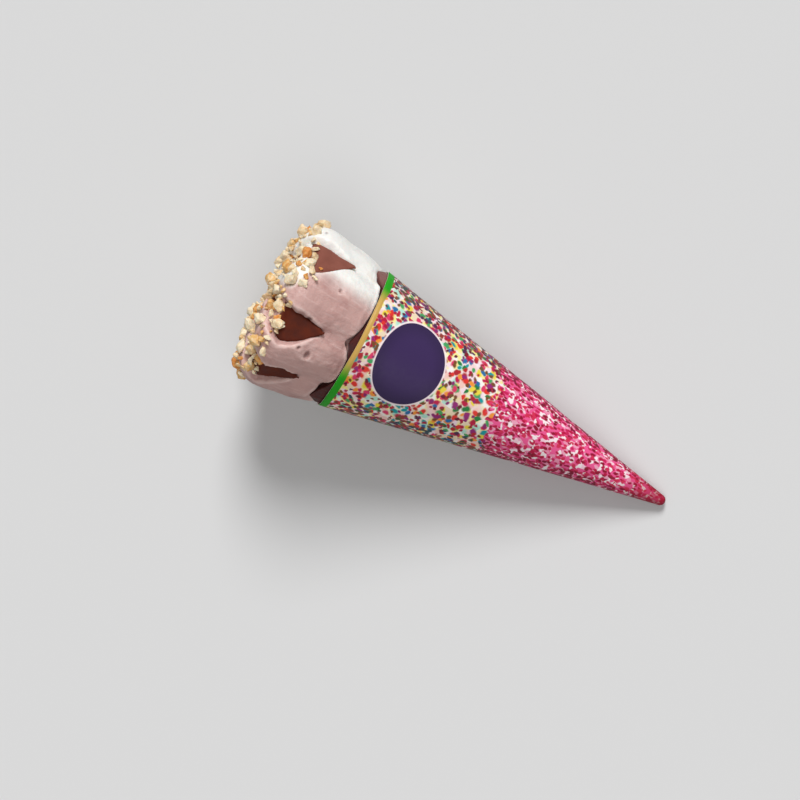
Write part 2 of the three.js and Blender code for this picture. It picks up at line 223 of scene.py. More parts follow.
def wear(tree, shader, colour, roughness, normal):
    """Wires the three parts of a finish into its shader."""
    for name, value in [("Base Color", colour), ("Roughness", roughness), ("Normal", normal)]:
        tree.links.new(value, shader.inputs[name])


print("helpers ready")

# %% [markdown]
# Table and light. A pale, even table comes from lights that fall evenly: a soft sun from
# the top of the picture, which throws the shadow below the cone, a weak one from the other
# side, which keeps the lower lobes from going dark, and the sky.
# The sky shows its pale colour only to the camera and to reflections. The table throws
# less light back up at the cone than its own paleness would, which keeps the form round.

# %% Table and light
BACKGROUND = screen(217, 217, 217)
TABLE_BOUNCE = screen(172, 172, 172)
KEY_STRENGTH = 2.6
KEY_LEAN = radians(48)
KEY_SOFTNESS = radians(24)
FILL_STRENGTH = 0.88
FILL_LEAN = radians(-24)
FILL_SOFTNESS = radians(50)
SKY_STRENGTH = 0.19
TABLE_SIZE = 12

bpy.ops.mesh.primitive_plane_add(size=TABLE_SIZE)
table = bpy.context.object
table.name = "table"
table_material, tree, shader = material("table")
camera_ray = add(tree, "LightPath").outputs["Is Camera Ray"]
table_colour = blended(tree, camera_ray, TABLE_BOUNCE, BACKGROUND)
tree.links.new(table_colour, shader.inputs["Base Color"])
shader.inputs["Roughness"].default_value = 0.9
shader.inputs["Specular IOR Level"].default_value = 0
table.data.materials.append(table_material)


def sun_lamp(name, strength, softness, lean):
    """A sun that leans from the camera's line towards the top of the picture."""
    data = bpy.data.lights.new(name, "SUN")
    data.energy = strength
    data.angle = softness
    back = (camera_back * cos(lean) + camera_hint * sin(lean)).normalized()
    aimed(data, name, back * CAMERA_DISTANCE, back, camera_hint)


sun_lamp("key", KEY_STRENGTH, KEY_SOFTNESS, KEY_LEAN)
sun_lamp("fill", FILL_STRENGTH, FILL_SOFTNESS, FILL_LEAN)

world = bpy.data.worlds.new("sky")
world.use_nodes = True
scene.world = world
tree = world.node_tree
tree.nodes.clear()
path = add(tree, "LightPath")
seen = calc(tree, "MAXIMUM", path.outputs["Is Camera Ray"], path.outputs["Is Glossy Ray"])
lit = add(tree, "Background", {"Color": (1, 1, 1, 1), "Strength": SKY_STRENGTH})
shown = add(tree, "Background", {"Color": BACKGROUND, "Strength": 1})
sky = add(tree, "MixShader", {0: seen, 1: lit.outputs[0], 2: shown.outputs[0]})
add(tree, "OutputWorld", {"Surface": sky.outputs[0]})
scene.view_settings.view_transform = "Standard"
print("table", TABLE_SIZE, "m wide")

# %% [markdown]
# The print and the ice cream are both sprinkled with small marks: coloured dabs on one,
# pinholes in the other. One node group makes them. It takes the cells of a Voronoi
# texture, turns the offset from each cell's own point by a random angle and stretches it
# into an ellipse, so that every mark has a direction, a size and a colour of its own. A
# cell has three random numbers. Where more are needed, one of them is multiplied and cut
# to its fraction.

# %% A node group of scattered dabs
SMALLEST_HALF = 0.34
HALF_SPREAD = 0.25
CHANCE_FACTOR = 7.31
SHADE_FACTOR = 5.77


def input_socket(group, name, kind="Float", value=None):
    made = group.interface.new_socket(name, in_out="INPUT", socket_type="NodeSocket" + kind)
    if value is not None:
        made.default_value = value


def output_socket(group, name, value):
    group.interface.new_socket(name, in_out="OUTPUT", socket_type="NodeSocketFloat")
    ends = [node for node in group.nodes if node.bl_idname == "NodeGroupOutput"]
    end = ends[0] if ends else group.nodes.new("NodeGroupOutput")
    group.links.new(value, end.inputs[name])


def ellipse_reach(tree, x, y, half_length, half_width):
    """0 at the middle of an ellipse and 1 on its edge."""
    along = calc(tree, "DIVIDE", x, half_length)
    across = calc(tree, "DIVIDE", y, half_width)
    squares = calc(tree, "MULTIPLY_ADD", across, across, calc(tree, "MULTIPLY", along, along))
    return calc(tree, "SQRT", squares)


def dabs_group():
    group = bpy.data.node_groups.new("scattered_dabs", "ShaderNodeTree")
    input_socket(group, "Point", "Vector")
    for name in ("Pitch", "Length", "Width", "Cover", "Softness"):
        input_socket(group, name, value=1)
    given = group.nodes.new("NodeGroupInput").outputs
    cells = add(
        group,
        "TexVoronoi",
        {"Vector": given["Point"], "Scale": calc(group, "DIVIDE", 1, given["Pitch"])},
        voronoi_dimensions="2D",
    )
    parts = add(group, "SeparateColor", {0: cells.outputs["Color"]}).outputs
    from_cell = {0: given["Point"], 1: cells.outputs["Position"]}
    offset = add(group, "VectorMath", from_cell, operation="SUBTRACT").outputs[0]
    spin = {"Vector": offset, "Angle": calc(group, "MULTIPLY", parts[0], 2 * pi)}
    turned = add(group, "VectorRotate", spin, rotation_type="Z_AXIS").outputs[0]
    axes = add(group, "SeparateXYZ", {0: turned}).outputs
    half_size = calc(group, "MULTIPLY_ADD", parts[2], HALF_SPREAD, SMALLEST_HALF)
    half_length = calc(group, "MULTIPLY", given["Length"], half_size)
    half_width = calc(group, "MULTIPLY", given["Width"], half_size)
    reach = ellipse_reach(group, axes["X"], axes["Y"], half_length, half_width)
    inner = calc(group, "SUBTRACT", 1, given["Softness"])
    outer = calc(group, "ADD", 1, given["Softness"])
    inside = fade(group, reach, outer, inner)
    chance = calc(group, "FRACT", calc(group, "MULTIPLY", parts[2], CHANCE_FACTOR))
    present = calc(group, "LESS_THAN", chance, given["Cover"])
    output_socket(group, "Mask", calc(group, "MULTIPLY", inside, present))
    output_socket(group, "Pick", parts[1])
    shade = calc(group, "FRACT", calc(group, "MULTIPLY", parts[0], SHADE_FACTOR))
    output_socket(group, "Shade", shade)
    return group


DABS = dabs_group()


def dabs(tree, point, **sizes):
    """Places the group in a material and returns its outputs: Mask, Pick and Shade."""
    inputs = {name.title(): value for name, value in sizes.items()}
    made = add(tree, "Group", node_tree=DABS)
    tree.links.new(point, made.inputs["Point"])
    for name, value in inputs.items():
        made.inputs[name].default_value = value
    return made.outputs


print("group", DABS.name, "with", len(DABS.nodes), "nodes")

# %% [markdown]
# Paper fibres, frost, chocolate and roasted nut are all uneven in the same simple way: a
# coarse and a fine noise together. A second group holds that unevenness. Each material
# gives it the size of its own grain, takes the tone for colour and roughness, and takes
# the height for a bump.

# %% A node group of surface grain
FINE_TIMES = 5
FINE_SHARE = 0.35


def noise_value(tree, point, scale, detail=2.0):
    inputs = {"Vector": point, "Scale": scale, "Detail": detail}
    return add(tree, "TexNoise", inputs).outputs["Fac"]


def grain_group():
    group = bpy.data.node_groups.new("surface_grain", "ShaderNodeTree")
    input_socket(group, "Point", "Vector")
    input_socket(group, "Size", value=1)
    given = group.nodes.new("NodeGroupInput").outputs
    scale = calc(group, "DIVIDE", 1, given["Size"])
    coarse = noise_value(group, given["Point"], scale, 3.0)
    fine = noise_value(group, given["Point"], calc(group, "MULTIPLY", scale, FINE_TIMES), 2.0)
    output_socket(group, "Tone", fade(group, coarse, 0.34, 0.66))
    output_socket(group, "Height", calc(group, "MULTIPLY_ADD", fine, FINE_SHARE, coarse))
    return group


GRAIN = grain_group()


def grain(tree, point, size):
    """Places the group in a material and returns its outputs: Tone and Height."""
    made = add(tree, "Group", node_tree=GRAIN)
    tree.links.new(point, made.inputs["Point"])
    made.inputs["Size"].default_value = size
    return made.outputs


def bump(tree, height, depth):
    """A normal from a height, where depth is the real depth of the relief."""
    inputs = {"Height": height, "Distance": depth, "Strength": 1}
    return add(tree, "Bump", inputs).outputs["Normal"]


def object_point(tree):
    return add(tree, "TexCoord").outputs["Object"]


print("group", GRAIN.name, "with", len(GRAIN.nodes), "nodes")

# %% [markdown]
# The sleeve is one fan-shaped sheet of coated paper. It is rolled until its last edge
# passes the first one by 20 degrees and is glued there, and it is pinched to a blunt point.
# A lathe or a cone would have no cut edge, so the sheet is laid out in columns and rows
# and every point is rolled up by formula. Where the lap starts, the sheet climbs by its
# own thickness. It also gives in a little between the folds of the wafer under it.

# %% The rolled sheet's sizes
SHEET_START = radians(120)
LAP_WIDTH = radians(20)
LAP_RAMP = radians(14)
LAP_CLIMB = PAPER * 1.04
SHEET_COLUMNS = 228
SHEET_ROWS = 84
NOSE_ROWS = 6
PIN_HOLE = 0.03 * MM
SLACK_DEPTH = 0.13 * MM
SLACKS_PER_METRE = 90
RIM_WANDER = 0.3 * MM
RIM_REACH = 12 * MM
WANDERS_PER_METRE = 45
APEX_HEIGHT = SLEEVE_LENGTH - MOUTH_RADIUS / tan(HALF_ANGLE)


def smooth(value, start, end):
    share = min(1, max(0, (value - start) / (end - start)))
    return share * share * (3 - 2 * share)


def wall_radius(height):
    return (height - APEX_HEIGHT) * tan(HALF_ANGLE)


def sheet_profile():
    """Radius and height of the outer face, from the point to the rim."""
    points = []
    for row in range(NOSE_ROWS):
        turned = -pi / 2 + (pi / 2 - HALF_ANGLE) * row / NOSE_ROWS
        radius = max(PIN_HOLE, NOSE_RADIUS * cos(turned))
        points.append((radius, NOSE_RADIUS * (1 + sin(turned))))
    low = NOSE_RADIUS * (1 - sin(HALF_ANGLE))
    for row in range(SHEET_ROWS + 1):
        height = low + (SLEEVE_LENGTH - low) * row / SHEET_ROWS
        points.append((wall_radius(height), height))
    return points


print("apex", round(APEX_HEIGHT / MM, 2), "mm from the tip,", len(sheet_profile()), "rows")


# %% Roll the sheet
def sheet_point(angle, radius, height, inward):
    """A point of one face, inward by so much from the outer one."""
    climb_end = SHEET_START + 2 * pi
    climb = LAP_CLIMB * smooth(angle, climb_end - LAP_RAMP, climb_end)
    settled = min(1, radius / (2 * NOSE_RADIUS))
    way = on_cone(height, angle, radius * FLAT_INSET)
    slack = SLACK_DEPTH * settled * max(0, noise.noise(way * SLACKS_PER_METRE) + 0.2)
    near_rim = smooth(height, SLEEVE_LENGTH - RIM_REACH, SLEEVE_LENGTH)
    wander = RIM_WANDER * near_rim * abs(noise.noise(way * WANDERS_PER_METRE))
    shrunk = radius * FLAT_INSET + (climb - slack) * settled
    return on_cone(height - wander, angle, max(PIN_HOLE / 2, shrunk - inward))


def sheet_faces(profile):
    rows = len(profile)
    points = []
    for column in range(SHEET_COLUMNS + 1):
        angle = SHEET_START + (2 * pi + LAP_WIDTH) * column / SHEET_COLUMNS
        for inward in (0, PAPER):
            points += [sheet_point(angle, r, h, inward) for r, h in profile]
    printed, plain = [], []
    for column in range(SHEET_COLUMNS):
        here, there = 2 * rows * column, 2 * rows * (column + 1)
        for row in range(rows - 1):
            a, b = here + row, there + row
            printed.append((a, b, b + 1, a + 1))
            plain.append((a + rows, a + rows + 1, b + rows + 1, b + rows))
        for row in (0, rows - 1):
            edge = (here + row, here + row + rows, there + row + rows, there + row)
            plain.append(edge if row == 0 else edge[::-1])
    for column in (0, SHEET_COLUMNS):
        start = 2 * rows * column
        for row in range(start, start + rows - 1):
            edge = (row, row + 1, row + rows + 1, row + rows)
            plain.append(edge if column == 0 else edge[::-1])
    return points, printed, plain


def new_piece(name, points, faces):
    data = bpy.data.meshes.new(name)
    data.from_pydata(points, [], faces)
    made = bpy.data.objects.new(name, data)
    scene.collection.objects.link(made)
    return made


points, printed_faces, plain_faces = sheet_faces(sheet_profile())
paper = new_piece("paper_sheet", points, printed_faces + plain_faces)
for polygon in paper.data.polygons:
    polygon.material_index = 0 if polygon.index < len(printed_faces) else 1
    polygon.use_smooth = polygon.index < 2 * len(printed_faces)
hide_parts("paper_sleeve")
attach(paper, "root")
print("sheet of", len(paper.data.polygons), "faces")

# %% [markdown]
# The print is laid on the flat sheet, as at a printer's, and not on the rolled one. A cone
# unrolls into a fan, so each point gets the place, in millimetres, that it has on that fan.
# The material can then draw in true sizes, and the pattern breaks off at the lap's edge.


# %% Unroll the sheet for the print
def fan_place(angle, height):
    slant = (height - APEX_HEIGHT) / cos(HALF_ANGLE) / MM
    turned = (angle - 2 * pi) * sin(HALF_ANGLE)
    return (slant * sin(turned), slant * cos(turned))


profile = sheet_profile()
fan_places = []
for column in range(SHEET_COLUMNS + 1):
    angle = SHEET_START + (2 * pi + LAP_WIDTH) * column / SHEET_COLUMNS
    fan_places += 2 * [fan_place(angle, height) for _, height in profile]
fan_map = paper.data.uv_layers.new(name="fan")
for loop in paper.data.loops:
    fan_map.data[loop.index].uv = fan_places[loop.vertex_index]
print("fan from", min(fan_places), "to", max(fan_places))

# %% [markdown]
# The printed side. From the rim down it has a narrow band, green with a golden stretch at
# the front, then sprinkled dabs of many colours on white, then a rose field with crimson
# and pale dabs and white patches, which darkens at the point. Round both sides, darker dabs
# come in among the others one by one; they are painted shade, where the cone turns away
# from the light. A plum oval with a pale outline fills the front.
# Offset printing gives flat ink with soft edges on a satin coated paper, so the colours
# are built up in layers, each one over the last, with a nearly even roughness and only a
# faint relief.

# %% Places on the fan
WOBBLE = (0.9, 0.9, 0)
SIDE_SHADE_FROM = radians(30)
SIDE_SHADE_FULL = radians(80)

printed_material, tree, shader = material("printed_side")
fan = add(tree, "UVMap", uv_map="fan").outputs["UV"]
wobble_noise = add(tree, "TexNoise", {"Vector": fan, "Scale": 0.7, "Detail": 1.0})
centred = shifted(tree, wobble_noise.outputs["Color"], (-0.5, -0.5, -0.5))
fan_wobbled = shifted(tree, stretched(tree, centred, WOBBLE), fan)
fan_axes = add(tree, "SeparateXYZ", {0: fan}).outputs
slant = add(tree, "VectorMath", {0: fan}, operation="LENGTH").outputs["Value"]
height_mm = calc(tree, "MULTIPLY_ADD", slant, cos(HALF_ANGLE), APEX_HEIGHT / MM)
fan_angle = calc(tree, "ARCTAN2", fan_axes["X"], fan_axes["Y"])
round_angle = calc(tree, "DIVIDE", fan_angle, sin(HALF_ANGLE))
# Share of painted side shade: 0 at the front, 1 towards either side, where the cone turns away
# from the light.
side_shade_share = fade(tree, calc(tree, "ABSOLUTE", round_angle), SIDE_SHADE_FROM, SIDE_SHADE_FULL)
print("fan coordinates ready")

# %% Dabs of many colours on white
PAPER_WHITE = screen(252, 248, 244)
LEMON_GLOW = screen(250, 236, 150)
ROSE_GLOW = screen(248, 214, 214)
CONFETTI = [
    (190, 24, 66), (22, 156, 160), (242, 218, 70), (150, 40, 118), (70, 164, 96),
    (228, 56, 46), (196, 30, 78), (40, 112, 168), (224, 60, 106), (246, 152, 60),
    (34, 124, 62), (176, 40, 50),
]
PASTELS = [(252, 238, 150), (184, 232, 214), (250, 206, 196), (244, 222, 190), (252, 226, 236)]
DOTS = [(172, 24, 62), (104, 26, 46), (188, 40, 44), (140, 40, 110), (120, 74, 40)]
SIDE_SHADE_DABS = [
    (128, 28, 44), (66, 84, 52), (118, 84, 58), (84, 42, 78), (44, 78, 88), (150, 60, 50),
]
SIDE_SHADE_SIZES = dict(pitch=1.9, length=2.6, width=1.7, cover=0.8, softness=0.35)
SIDE_SHADE_SHIFT = (12.9, 54.1, 0)
UPPER_LAYERS = [
    (PASTELS, dict(pitch=3.1, length=4.6, width=3.2, cover=0.75, softness=0.5), 83.9),
    (CONFETTI, dict(pitch=2.9, length=3.3, width=2.2, cover=0.66, softness=0.34), 0.0),
    (CONFETTI[::-1], dict(pitch=2.4, length=2.6, width=1.7, cover=0.42, softness=0.36), 31.7),
    (DOTS, dict(pitch=1.8, length=1.8, width=1.3, cover=0.44, softness=0.4), 67.3),
]


def dab_layer(tree, base, point, colours, sizes, shift, share=None):
    """Lays dabs over a base colour. With a share, only that share of them appears."""
    marks = dabs(tree, shifted(tree, point, shift), **sizes)
    mask = marks["Mask"]
    if share is not None:
        mask = calc(tree, "MULTIPLY", mask, calc(tree, "LESS_THAN", marks["Shade"], share))
    return blended(tree, mask, base, palette(tree, marks["Pick"], colours))


glow_noise = noise_value(tree, fan, 0.3, 1.0)
drift = noise_value(tree, fan, 0.12)
upper = blended(tree, fade(tree, glow_noise, 0.46, 0.66), PAPER_WHITE, LEMON_GLOW)
upper = blended(tree, fade(tree, drift, 0.5, 0.62), upper, ROSE_GLOW)
for colours, sizes, shift in UPPER_LAYERS:
    upper = dab_layer(tree, upper, fan_wobbled, colours, sizes, (shift, -shift, 0))
# Darker dabs towards both sides: painted shade where the cone turns away from the light.
upper = dab_layer(tree, upper, fan_wobbled, SIDE_SHADE_DABS, SIDE_SHADE_SIZES, SIDE_SHADE_SHIFT, side_shade_share)
print(len(UPPER_LAYERS) + 1, "layers of dabs")

# %% Crimson and pale dabs on rose, down to the point
ROSE = screen(238, 90, 148)
STAR_WHITE = screen(253, 238, 240)
PALES = [(250, 208, 222), (254, 238, 242), (242, 168, 194), (240, 150, 180)]
CRIMSONS = [(186, 16, 66), (202, 34, 88), (146, 10, 46), (212, 46, 84)]
SIDE_SHADE_CRIMSONS = [(132, 14, 50)]
SIDE_SHADE_CRIMSON_SIZES = dict(pitch=1.7, length=2.4, width=1.4, cover=0.8, softness=0.35)
SIDE_SHADE_CRIMSON_SHIFT = (71.3, 19.7, 0)
LOWER_LAYERS = [
    (PALES, dict(pitch=1.7, length=2.3, width=1.3, cover=0.6, softness=0.3), 11.3),
    (CRIMSONS, dict(pitch=1.35, length=1.5, width=1.0, cover=0.78, softness=0.3), 47.9),
    (CRIMSONS[::-1], dict(pitch=1.5, length=1.5, width=0.95, cover=0.36, softness=0.34), 93.1),
]
DOWN_THE_CONE = (1, 0.62, 0)
CRIMSON_TIP = screen(158, 16, 44)
TIP_REACH = 24
TIP_STRENGTH = 0.85
BORDER_HEIGHT = 73
BORDER_RISE = 3.6
BORDER_RAGGED = 14
BORDER_SOFT = 0.6

star_noise = noise_value(tree, fan_wobbled, 0.42, 1.0)
lower = blended(tree, fade(tree, star_noise, 0.57, 0.62), ROSE, STAR_WHITE)
grained = stretched(tree, fan_wobbled, DOWN_THE_CONE)
for colours, sizes, shift in LOWER_LAYERS:
    lower = dab_layer(tree, lower, grained, colours, sizes, (shift, shift, 0))
lower = blended(tree, fade(tree, star_noise, 0.65, 0.69), lower, STAR_WHITE)
# Deep crimson dabs towards both sides: painted shade, as on the upper field.
lower = dab_layer(tree, lower, fan_wobbled, SIDE_SHADE_CRIMSONS, SIDE_SHADE_CRIMSON_SIZES, SIDE_SHADE_CRIMSON_SHIFT, side_shade_share)
tip_share = calc(tree, "MULTIPLY", fade(tree, height_mm, TIP_REACH, 0), TIP_STRENGTH)
lower = blended(tree, tip_share, lower, CRIMSON_TIP)

border = calc(tree, "MULTIPLY_ADD", round_angle, BORDER_RISE, BORDER_HEIGHT)
above_border = calc(tree, "SUBTRACT", height_mm, border)
evened = calc(tree, "SUBTRACT", above_border, BORDER_RAGGED / 2)
ragged = calc(tree, "MULTIPLY_ADD", star_noise, BORDER_RAGGED, evened)
mixed = blended(tree, fade(tree, ragged, BORDER_SOFT, -BORDER_SOFT), upper, lower)
print("border of the two fields at", BORDER_HEIGHT, "mm")

# %% The oval and the band
OVAL_MIDDLE = fan_place(2 * pi + radians(1.5), 107.7 * MM)
OVAL_HALF_WIDTH = 15.8
OVAL_HALF_HEIGHT = 12.6
OVAL_OUTLINE = 0.028
OVAL_HALO = 0.07
HALO_STRENGTH = 0.8
INK_EDGE = 0.012
PLUM = screen(56, 37, 84)
PLUM_EDGE = screen(48, 31, 73)
OUTLINE_PINK = screen(250, 228, 234)
BAND_FOOT = 125.3
BAND_SOFT = 0.15
GOLD_NARROWS = 0.75
GOLD_STARTS = (radians(-34), radians(-14))
GOLD_ENDS = (radians(52), radians(34))
BAND_GREEN = screen(26, 160, 10)
BAND_GOLD = screen(204, 163, 84)

oval_x = calc(tree, "SUBTRACT", fan_axes["X"], OVAL_MIDDLE[0])
oval_y = calc(tree, "SUBTRACT", fan_axes["Y"], OVAL_MIDDLE[1])
reach = ellipse_reach(tree, oval_x, oval_y, OVAL_HALF_WIDTH, OVAL_HALF_HEIGHT)
outline_end = 1 + OVAL_OUTLINE
halo = calc(tree, "MULTIPLY", fade(tree, reach, 1 + OVAL_HALO, outline_end), HALO_STRENGTH)
mixed = blended(tree, halo, mixed, PAPER_WHITE)
outline = fade(tree, reach, outline_end, outline_end - INK_EDGE)
mixed = blended(tree, outline, mixed, OUTLINE_PINK)
plum = blended(tree, fade(tree, reach, 0.55, 1.0), PLUM, PLUM_EDGE)
mixed = blended(tree, fade(tree, reach, 1 + INK_EDGE / 2, 1 - INK_EDGE / 2), mixed, plum)

started = fade(tree, round_angle, *GOLD_STARTS)
golden = calc(tree, "MULTIPLY", started, fade(tree, round_angle, *GOLD_ENDS))
band_colour = blended(tree, golden, BAND_GREEN, BAND_GOLD)
band_edge = calc(tree, "MULTIPLY_ADD", golden, GOLD_NARROWS, BAND_FOOT)
above_band = calc(tree, "SUBTRACT", height_mm, band_edge)
in_band = fade(tree, above_band, -BAND_SOFT, BAND_SOFT)
printed_colour = blended(tree, in_band, mixed, band_colour)
print("oval", OVAL_HALF_WIDTH * 2, "by", OVAL_HALF_HEIGHT * 2, "mm")

# %% Ink, coating and fibres
COATING_GRAIN = 1.6
FIBRE_DEPTH = 0.03 * MM
PLAIN_PAPER = screen(250, 248, 243)
PLAIN_SHADE = screen(238, 234, 226)

fibres = grain(tree, fan, COATING_GRAIN)
roughness = calc(tree, "MULTIPLY_ADD", fibres["Tone"], 0.12, 0.4)
wear(tree, shader, printed_colour, roughness, bump(tree, fibres["Height"], FIBRE_DEPTH))
shader.inputs["Specular IOR Level"].default_value = 0.25
paper.data.materials.append(printed_material)

plain_material, tree, shader = material("plain_side")
fibres = grain(tree, add(tree, "UVMap", uv_map="fan").outputs["UV"], COATING_GRAIN)
toned = blended(tree, fibres["Tone"], PLAIN_SHADE, PLAIN_PAPER)
tree.links.new(toned, shader.inputs["Base Color"])
tree.links.new(bump(tree, fibres["Height"], FIBRE_DEPTH), shader.inputs["Normal"])
shader.inputs["Roughness"].default_value = 0.75
paper.data.materials.append(plain_material)
print("paper dressed")

# %% [markdown]
# The ice cream is piped into the cone through a star-shaped nozzle, which gives the lobes
# and the grooves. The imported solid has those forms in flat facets. Sculpting would lose
# them, so its mesh is copied, rebuilt out of small cells and relaxed until the facets run
# together. Then noise pushes it in and out, first as the slow folds of soft-frozen cream
# and then as its fine grain, and a few air bubbles leave their holes.


# %% A helper that rebuilds a solid out of small cells
def rebuilt(name, node, cell, relax):
    """A copy of a solid's mesh in even cells of one size, relaxed so many times."""
    made = bpy.data.objects.new(name, nodes[node].data.copy())
    scene.collection.objects.link(made)
    remesh = made.modifiers.new("cells", "REMESH")
    remesh.mode = "VOXEL"
    remesh.voxel_size = cell
    remesh.use_smooth_shade = True
    soften = made.modifiers.new("soften", "SMOOTH")
    soften.factor = 0.5
    soften.iterations = relax
    view = bpy.context.evaluated_depsgraph_get()
    finished = bpy.data.meshes.new_from_object(made.evaluated_get(view))
    made.modifiers.clear()
    made.data = finished
    made.data.materials.clear()
    return made


def push(piece, amount_at):
    """Moves every point along its normal by what amount_at gives for its place."""
    data = piece.data
    moved = [v.co + v.normal * amount_at(v.co) for v in data.vertices]
    for vertex, place in zip(data.vertices, moved):
        vertex.co = place
    data.update()


def store(piece, name, values):
    """Stores one number at each point, for a material to read."""
    stored = piece.data.attributes.new(name, "FLOAT", "POINT")
    stored.data.foreach_set("value", values)


def paint(piece, name, value_at):
    store(piece, name, [value_at(v.co) for v in piece.data.vertices])


def painted(tree, name):
    return add(tree, "Attribute", attribute_name=name).outputs["Fac"]


print("rebuild helper ready")

# %% The nozzle's swirl
SWIRL_START = 11.8 * MM
LEAN_LENGTH = 13 * MM
LEAN_PER_METRE = radians(-800)
SWIRL_PER_METRE = radians(700)
GROOVES_AT = [-50, -7, 53, 113, 173, 241]
SHOULDER = 24 * MM


def unswirled(place):
    """The angle that a point had in the nozzle, and its way up the crown's surface."""
    height, angle, radius = cone_place(place)
    along = max(0, height - SLEEVE_LENGTH) + max(0, SHOULDER - radius)
    opening = max(0, along - SWIRL_START)
    leaning = min(opening, LEAN_LENGTH)
    swirl = LEAN_PER_METRE * leaning + SWIRL_PER_METRE * (opening - leaning)
    return (angle - swirl + pi / 2) % (2 * pi) - pi / 2, along


def groove_offset(angle):
    """How far an angle lies round from the middle of the nearest groove."""
    asides = [(angle - radians(at) + pi) % (2 * pi) - pi for at in GROOVES_AT]
    return min(asides, key=abs)


print(len(GROOVES_AT), "grooves")

# %% The ice cream
CREAM_CELL = 0.6 * MM
FOLD_DEPTH = 0.28 * MM
FOLD_SIZE = 8 * MM
CURD_DEPTH = 0.07 * MM
CURD_SIZE = 1.6 * MM
CREASE_DEPTH = 1.3 * MM
CREASE_REACH = 5 * MM
SWELL = 0.5 * MM
AIR_HOLE_DEPTH = 0.9 * MM
# Each hole's angle in degrees, its height above the mouth, and half its width and length
AIR_HOLES = [
    (24.7, 13.6 * MM, 0.7 * MM, 0.6 * MM), (-26.7, 13.7 * MM, 1.6 * MM, 0.9 * MM),
    (-24, 17.5 * MM, 0.7 * MM, 0.6 * MM), (-3, 19 * MM, 0.5 * MM, 0.8 * MM),
    (128, 15 * MM, 1.1 * MM, 0.8 * MM), (-115, 12 * MM, 0.8 * MM, 1.2 * MM),
    (-158, 18 * MM, 0.9 * MM, 0.7 * MM),
]

cream = rebuilt("ice_cream_crown", "ice_cream", CREAM_CELL, 5)


def air_hole_share(place):
    """1 in the middle of a hole that an air bubble left in the cream, 0 outside it."""
    height, angle, radius = cone_place(place)
    share = 0
    for at, above, half_width, half_length in AIR_HOLES:
        across = (angle - radians(at)) * radius / half_width
        along = (height - SLEEVE_LENGTH - above) / half_length
        share = max(share, 1 - smooth(sqrt(across * across + along * along), 0.5, 1.2))
    return share


def cream_relief(place):
    """Folds, curds, and a crease from the rim up to the start of each groove."""
    height, _, radius = cone_place(place)
    angle, along = unswirled(place)
    above = smooth(height, SLEEVE_LENGTH + 2 * MM, SLEEVE_LENGTH + 6 * MM)
    fold = noise.noise(place / FOLD_SIZE) * FOLD_DEPTH
    curd = noise.noise(place / CURD_SIZE) * CURD_DEPTH
    aside = abs(groove_offset(angle)) * radius
    under_groove = 1 - smooth(along, SWIRL_START - 2 * MM, SWIRL_START + 5 * MM)
    crease = CREASE_DEPTH * (1 - smooth(aside, 0, CREASE_REACH))
    swell = SWELL * smooth(aside, CREASE_REACH * 0.6, CREASE_REACH * 2)
    shown = smooth(height, SLEEVE_LENGTH + 1 * MM, SLEEVE_LENGTH + 3 * MM)
    hole = AIR_HOLE_DEPTH * air_hole_share(place)
    return above * (fold + curd) + shown * under_groove * (swell - crease) - hole


push(cream, cream_relief)
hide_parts("ice_cream")
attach(cream, "root")
print("ice cream of", len(cream.data.polygons), "faces")

# %% [markdown]
# Two flavours run side by side out of the nozzle: vanilla towards the top of the picture
# and a rosy cocoa towards the bottom. They meet in a soft, slightly marbled border that
# follows the swirl. The share of vanilla is painted on the points, because it depends on
# the angle round the cone, which a shader can't know once the cone lies on its side. The
# lips, where the cream stands out from its surroundings, get a painted highlight, as if
# their edges caught the light, and it is painted on in the same way.

# %% Where the vanilla is
VANILLA_FROM = radians(29)
VANILLA_TO = radians(226)
MARBLING = radians(6)
MARBLE_SIZE = 9 * MM
MEETING_WIDTH = radians(10)
MEETING_NARROWS = radians(5)
MEETING_CLIMB = radians(9)
MEETING_FALL = radians(21)
LIP_FLAT = 0.008 * MM
LIP_SHARP = 0.04 * MM
LIP_SPREAD = 2


def vanilla_share(place):
    angle, along = unswirled(place)
    angle += MARBLING * noise.noise(place / MARBLE_SIZE)
    width = MEETING_WIDTH - MEETING_NARROWS * smooth(along, 8 * MM, 24 * MM)
    climb = MEETING_CLIMB * smooth(along, 12 * MM, 22 * MM)
    fall = MEETING_FALL * smooth(along, 25 * MM, 30 * MM)
    start = VANILLA_FROM + climb - fall
    first = smooth(angle, start - width, start + width)
    return first * (1 - smooth(angle, VANILLA_TO - width, VANILLA_TO + width))


def lip_shares(piece):
    """How far each point stands out from its neighbours, from 0, flat, to 1, a sharp lip."""
    shape = bmesh.new()
    shape.from_mesh(piece.data)
    shape.normal_update()
    rises = []
    for vertex in shape.verts:
        others = [edge.other_vert(vertex) for edge in vertex.link_edges]
        middle = sum((other.co for other in others), Vector()) / len(others)
        rises.append((vertex.co - middle).dot(vertex.normal))
    links = [[edge.other_vert(v).index for edge in v.link_edges] for v in shape.verts]
    for _ in range(LIP_SPREAD):
        nearby = [sum(rises[m] for m in link) for link in links]
        rises = [(own + sums) / (1 + len(link)) for own, sums, link in zip(rises, nearby, links)]
    shape.free()
    return [smooth(rise, LIP_FLAT, LIP_SHARP) for rise in rises]


def round_place(place):
    """A place unrolled round the cone, in millimetres, for marks that follow its side."""
    height, angle, radius = cone_place(place)
    return (angle * MOUTH_RADIUS / MM, (height - radius) / MM, 0)


paint(cream, "vanilla", vanilla_share)
paint(cream, "air_hole", air_hole_share)
# How strongly each point gets the painted highlight of a lip.
lip_highlights = lip_shares(cream)
store(cream, "lip", lip_highlights)
print("mean lip", round(sum(lip_highlights) / len(lip_highlights), 3))
stored = cream.data.attributes.new("round_place", "FLOAT_VECTOR", "POINT")
flat_values = [number for v in cream.data.vertices for number in round_place(v.co)]
stored.data.foreach_set("vector", flat_values)
print("vanilla painted on", len(cream.data.vertices), "points")

